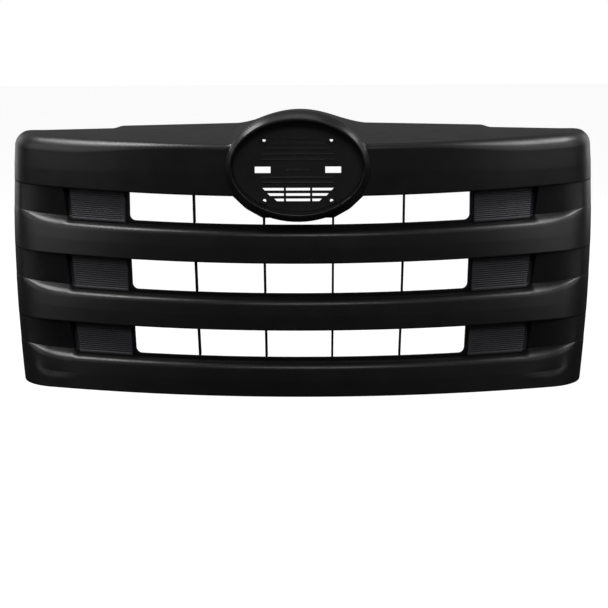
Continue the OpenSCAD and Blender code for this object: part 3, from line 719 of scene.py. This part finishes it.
# ---------------------------------------------------------------- grids and inserts
def strip(name, rows, n0, n1, material):
    """A curved strip behind the face: each row is (x, low, high)."""
    loops = []
    for x, z0, z1 in rows:
        s, side = (0, abs(x)), -1 if x < 0 else 1
        ring = fillet([(n1, z0), (n0, z0), (n0, z1), (n1, z1)], [0, 0.8, 0.8, 0], arc=4, shares=(0.1, 0.9))
        loops.append(at(s, side, ring[:, 0], ring[:, 1]))
    return loft(name, loops, material)


def blade(x, low, high):
    """The two blades at a distance from the middle, with rounded front edges."""
    middle = (low + high) / 2
    y0 = float(bow_y(x * row_share(middle), middle)) + ledge_back
    parts = []
    for side in (-1, 1):
        pts = []
        for z in (low, high):
            cx, t = side * x * float(row_share(z)), blade_t / 2
            pts += [(cx - t, y0 + blade_depth - mid_y, z), (cx - t, y0 - mid_y, z),
                    (cx + t, y0 - mid_y, z), (cx + t, y0 + blade_depth - mid_y, z)]
        parts.append(prism("blade", pts, grid_black, 1.1))
    return parts


def vent_grid(name, sill, lip, under_emblem):
    """A row's bottom rail with its rounded ends and posts, its top rail and its blades."""
    x_end = window_half_w
    ledge, straight = sill - rail_h, x_end - window_corner_r
    n0, n1 = ledge_back, ledge_back + rail_t
    rail = [(straight * i / 60, ledge, sill) for i in range(61)]
    for k in range(1, 13):
        d = math.sin(math.radians(7.5 * k)) * 0.995
        rail.append((straight + window_corner_r * d, ledge,
                     sill + window_corner_r * (1 - math.sqrt(max(0, 1 - d * d)))))
    rail += [(x_end + 0.1, ledge, lip), (x_end + post_w / 2, ledge, lip), (x_end + post_w, ledge, lip)]
    full = [(-x, a, b) for x, a, b in rail[:0:-1]] + rail
    parts = [strip("rail", full, n0, n1, grid_black)]
    if under_emblem:
        for side in (-1, 1):
            rail_x = half_w + gap + n1 * math.sin(float(bow_angle(half_w, lip)))
            xs = np.linspace(rail_x, x_end + 3, 30)[::side]
            parts.append(strip("rail", [(side * x, lip - top_rail_h, lip) for x in xs],
                               n0 + 1, n1 - 1, grid_black))
    else:
        xs = np.linspace(-x_end - 3, x_end + 3, 90)
        parts.append(strip("rail", [(x, lip - top_rail_h, lip) for x in xs], n0 + 1, n1 - 1, grid_black))
    under_rail = lip - top_rail_h + 1
    parts += blade(outer_blade_x, sill - 1, under_rail)
    parts += blade(inner_blade_x, sill - 1, apron_low_z if under_emblem else under_rail)
    return join(name, parts)


def ribbed_insert(name, side, sill, lip):
    """A curved panel of rounded horizontal ribs, with a foot and the groove's floor."""
    x0 = window_half_w + post_w + gap
    x1, x2 = x0 + insert_w, blank_x + groove_reach
    base, n = sill - rail_h, ledge_back - 3
    section = [(n - foot_out + 0.6, base), (n - foot_out, base + 0.8), (n - foot_out, sill - 1.2),
               (n - foot_out + 0.7, sill - 0.2), (n, sill + 0.4)]
    z0, z1 = sill + 1, lip - 3
    for i in range(rib_count * 8):
        f = (i + 0.5) / (rib_count * 8)
        wave = 0.5 - 0.5 * math.cos(2 * math.pi * ((f * rib_count) % 1))
        section.append((n - rib_h * wave, z0 + (z1 - z0) * f))
    section += [(n, lip - 3), (n, lip)]
    section = np.array(section)
    rise = (section[:, 1] - base) / (lip - base)
    xs = [(x0, 2.5, 0.0), (x0 + 0.2, 1.2, 0.0), (x0 + 0.8, 0.4, 0.0), (x0 + 1.8, 0.0, 0.0)]
    xs += [(x, 0.0, (x - x0) / insert_w) for x in np.linspace(x0 + 4, x1 - 4, 26)]
    xs += [(x1 - 2.4, 0.15, 1), (x1 - 1.2, 0.5, 1), (x1 - 0.4, 1.3, 1), (x1, 2.8, 1),
           (x1 + 0.6, groove_depth - 1.5, 1), (x1 + 2.2, groove_depth, 1)]
    xs += [(x, groove_depth, (x2 - x) / (x2 - x1)) for x in np.linspace(x1 + 4, x2, 6)]
    loops = []
    for x, back, slant in xs if side > 0 else xs[::-1]:
        front = at_each(x + groove_slant * slant * rise, side, section[:, 0] + back, section[:, 1])
        rear = at_each(x + groove_slant * slant * rise, side, np.full(len(section), ledge_back + back),
                       section[:, 1])
        loops.append(np.concatenate([front, rear[::-1]]))
    return loft(name, loops, insert_grey, angle=75)


def at_each(x, side, n, z):
    """Like at(), with a distance from the middle for each point."""
    return np.array([at((0, float(xi)), side, float(ni), float(zi)) for xi, ni, zi in zip(x, n, z)])


# ---------------------------------------------------------------- studs and washers
def stud(place):
    """Head, neck through the tab, collar and threaded shank, turned round one line."""
    y_end, count, steps_per_turn = washer_t + shank_l, 28, 7
    head_r, neck_r = stud_head_r, stud_neck_r
    head = [(0.01, -wall - 3), (head_r - 1.5, -wall - 3), (head_r - 0.4, -wall - 2.4),
            (head_r, -wall - 1.6), (head_r, -wall), (neck_r, -wall), (neck_r, 0),
            (collar_r - 0.6, 0), (collar_r, 0.6), (collar_r, washer_t - 0.6),
            (collar_r - 0.6, washer_t), (shank_r - 0.4, washer_t), (shank_r - 0.4, washer_t + 0.6)]
    rows = []
    ys = np.linspace(washer_t + 0.6, y_end - 0.8, int(shank_l / thread_pitch * steps_per_turn))
    for k in range(count):
        t = 2 * math.pi * k / count
        line = list(head)
        for y in ys:
            phase = (y / thread_pitch + k / count) % 1
            line.append((shank_r - thread_depth * abs(2 * phase - 1), y))
        line += [(shank_r - 1.1, y_end), (0.01, y_end)]
        rows.append([(place[0] + r * math.cos(t), place[1] + y - mid_y, place[2] + r * math.sin(t))
                     for r, y in line])
    rows = np.array(rows)
    m = rows.shape[1]
    faces = []
    for i in range(count):
        for j in range(m - 1):
            a, b = i * m + j, i * m + j + 1
            c, d = ((i + 1) % count) * m + j + 1, ((i + 1) % count) * m + j
            faces.append((d, c, b, a))
    faces.append(tuple(i * m for i in range(count))[::-1])
    faces.append(tuple(i * m + m - 1 for i in range(count)))
    return mesh_object("stud", rows.reshape(-1, 3), faces, stud_steel, angle=30)


def washer(index):
    """A rubber washer with rounded edges, a parting line and a raised rim round its face."""
    inner = collar_r + gap
    ring = [(inner, gap + 0.5), (inner + 0.5, gap), (washer_r - 1.4, gap), (washer_r - 0.4, gap + 0.4),
            (washer_r, gap + 1.4), (washer_r, washer_t / 2 - 0.1), (washer_r - 0.15, washer_t / 2 + 0.1),
            (washer_r, washer_t / 2 + 0.3), (washer_r, washer_t - 1.4), (washer_r - 0.4, washer_t - 0.4),
            (washer_r - 1.4, washer_t), (inner + 4.5, washer_t), (inner + 3.6, washer_t - 0.5),
            (inner + 1.2, washer_t - 0.5), (inner + 0.5, washer_t - 0.6), (inner, washer_t - 1.1)]
    return lathe(f"rubber_washer_{index + 1:02d}_visual", stud_at[index], ring, rubber_black, 72)


# ---------------------------------------------------------------- assembly
def build():
    rows = {"upper": (sill_1, lip_1), "middle": (sill_2, lip_2), "lower": (sill_3, lip_3)}
    parts = bar("upper_bar", lip_2, sill_1, lip_1) + tabs(stud_at[5:7], True)
    stand_for(join("upper_bar_panel_visual", parts), "upper_bar_panel")
    stand_for(join("lower_bar_panel_visual", bar("lower_bar", lip_3, sill_2, lip_2)), "lower_bar_panel")
    parts = bar("valance", 0.0, sill_3, lip_3) + tabs(stud_at[7:9], True) + tabs(stud_at[9:11])
    stand_for(join("valance_panel_visual", parts), "valance_panel")
    stand_for(join("header_panel_visual", [header()] + tabs(stud_at[0:5])), "header_panel")
    stand_for(bezel(), "emblem_bezel")
    stand_for(emblem_plate(), "emblem_plate")
    for row, (sill, lip) in rows.items():
        grid = vent_grid(f"vent_grid_{row}_visual", sill, lip, row == "upper")
        stand_for(grid, f"vent_grid_{row}")
        for side, word in ((-1, "left"), (1, "right")):
            piece = ribbed_insert(f"ribbed_insert_{word}_{row}_visual", side, sill, lip)
            stand_for(piece, f"ribbed_insert_{word}_{row}")
    stand_for(join("mounting_studs_visual", [stud(p) for p in stud_at]), "mounting_studs")
    for i in range(len(stud_at)):
        name = f"rubber_washer_{i + 1:02d}"
        stand_for(washer(i), name, name + "_body")


# ---------------------------------------------------------------- stage
def camera():
    """4.5 m in front of the lip line, a little right of the middle, looking down 10 degrees."""
    cam = bpy.data.objects.new("camera", bpy.data.cameras.new("camera"))
    bpy.context.collection.objects.link(cam)
    eye = Vector((0.130, -4.5 - mid_y * MM, 1.135))
    aim = Vector((0, -mid_y * MM, 0.342))
    ahead = (aim - eye).normalized()
    right = ahead.cross(Vector((0, 0, 1))).normalized()
    up = right.cross(ahead)
    roll = math.radians(-0.37)
    r = math.cos(roll) * right + math.sin(roll) * up
    u = math.cos(roll) * up - math.sin(roll) * right
    m = Matrix((r, u, -ahead)).transposed().to_4x4()
    m.translation = eye
    cam.matrix_world = m
    cam.data.sensor_width = 36
    cam.data.lens = 112.3
    cam.data.shift_x = 0.0094
    cam.data.shift_y = -0.0737
    bpy.context.scene.camera = cam


def area_light(name, place, aim, size, size_y, power):
    data = bpy.data.lights.new(name, "AREA")
    data.shape = "RECTANGLE"
    data.size, data.size_y, data.energy = size, size_y, power
    obj = bpy.data.objects.new(name, data)
    bpy.context.collection.objects.link(obj)
    obj.location = place
    obj.rotation_euler = (Vector(aim) - Vector(place)).to_track_quat("-Z", "Y").to_euler()


def studio():
    floor = mesh_object("floor", [(-9000, -9000, 0), (9000, -9000, 0), (9000, 9000, 0), (-9000, 9000, 0)],
                        [(0, 1, 2, 3)], floor_paint(), smooth=False)
    floor.visible_glossy = False
    floor.visible_diffuse = False
    # name, place and aim in metres, width and height in metres, watts
    for light in (("top_left_softbox", (-1.65, 0.1, 2.5), (-0.4, 0, 0.3), 1.5, 0.7, 42),
                  ("top_right_softbox", (2.1, 0.2, 2.2), (0.4, 0, 0.3), 1.2, 0.6, 27),
                  ("top_softbox", (0, 0.2, 2.8), (0, 0, 0.3), 1.2, 0.6, 4),
                  ("left_softbox", (-3.0, -0.7, 1.4), (0, 0, 0.5), 2.2, 1.5, 11),
                  ("right_softbox", (3.0, -0.7, 1.4), (0, 0, 0.5), 2.2, 1.5, 12),
                  ("rear_left_softbox", (-2.4, 2.4, 0.8), (-0.6, 0, 0.4), 1.4, 1.4, 6),
                  ("rear_right_softbox", (2.4, 2.4, 0.8), (0.6, 0, 0.4), 1.4, 1.4, 6),
                  ("front_fill", (0.2, -3.0, 2.4), (0, 0, 0.5), 1.6, 1.0, 24)):
        area_light(*light)
    backdrop()
    bpy.context.scene.view_settings.view_transform = "Standard"


def backdrop():
    """Plain white behind the object, while the object itself is lit by a dim upward gradient."""
    world = bpy.data.worlds.new("studio")
    bpy.context.scene.world = world
    world.use_nodes = True
    tree = world.node_tree
    where = add(tree, "ShaderNodeTexCoord")
    split = add(tree, "ShaderNodeSeparateXYZ")
    tree.links.new(where.outputs["Generated"], split.inputs[0])
    ramp = add(tree, "ShaderNodeValToRGB")
    ramp.color_ramp.elements[0].position = 0.46
    ramp.color_ramp.elements[0].color = (0.02, 0.02, 0.02, 1)
    ramp.color_ramp.elements[1].position = 0.62
    ramp.color_ramp.elements[1].color = (0.16, 0.16, 0.16, 1)
    height = add(tree, "ShaderNodeMath", {1: 0.5, 2: 0.5}, operation="MULTIPLY_ADD")
    tree.links.new(split.outputs["Z"], height.inputs[0])
    tree.links.new(height.outputs[0], ramp.inputs["Fac"])
    path = add(tree, "ShaderNodeLightPath")
    colour = colour_mix(tree, ramp.outputs["Color"], (1, 1, 1), path.outputs["Is Camera Ray"])
    tree.links.new(colour, tree.nodes["Background"].inputs["Color"])


def floor_paint():
    mat, tree, bsdf = node_material("floor_paint")
    tone = noise(tree, 3.0)
    pale = colour_mix(tree, (0.2, 0.2, 0.2), (0.21, 0.21, 0.21), tone.outputs["Fac"])
    tree.links.new(pale, bsdf.inputs["Base Color"])
    set_inputs(bsdf, {"Roughness": 0.9, "Specular IOR Level": 0.1,
                      "Emission Color": (1, 1, 1, 1), "Emission Strength": 0.92})
    return mat


build()
camera()
studio()
